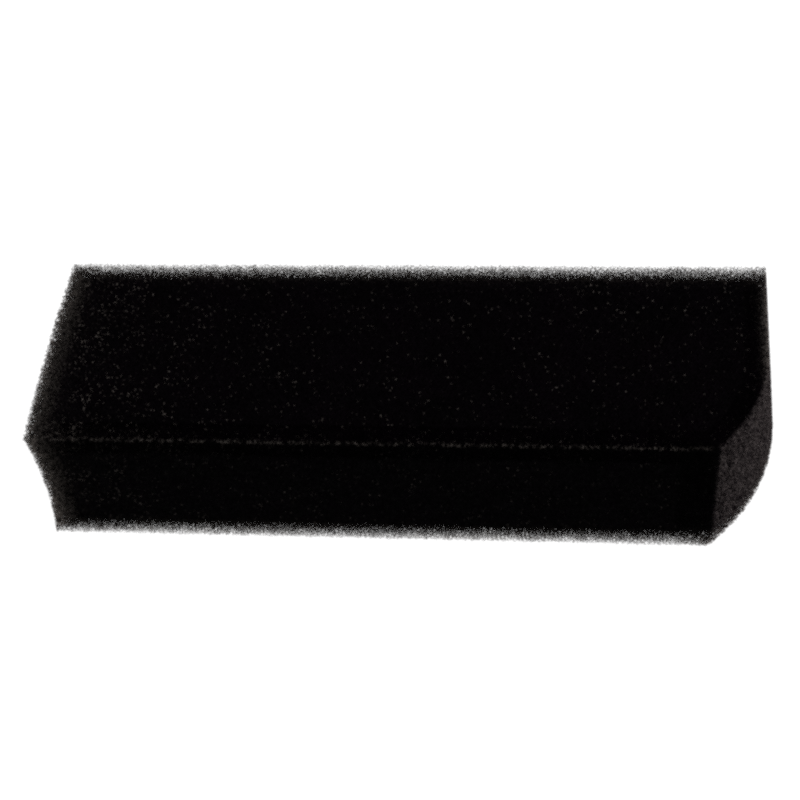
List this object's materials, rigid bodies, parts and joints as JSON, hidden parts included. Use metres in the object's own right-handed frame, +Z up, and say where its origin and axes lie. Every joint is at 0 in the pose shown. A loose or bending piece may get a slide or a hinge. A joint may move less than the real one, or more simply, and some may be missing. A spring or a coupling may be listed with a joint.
{
  "type": "filter foam block",
  "caption": "Block of coarse black open-cell filter foam, rectangular with one end cut to a rounded nose, for a pond or aquarium filter.",
  "frame": {"origin": "middle of the bottom face's bounding box, on the surface the block rests on", "axes": "+X along the block towards its rounded end, +Y from the front face to the back face, +Z up through the thickness"},
  "size_m": [0.247, 0.081, 0.05],
  "materials": {
    "filter_foam": null
  },
  "bodies": {
    "root": {"foam_block": "filter_foam"}
  },
  "joints": []
}
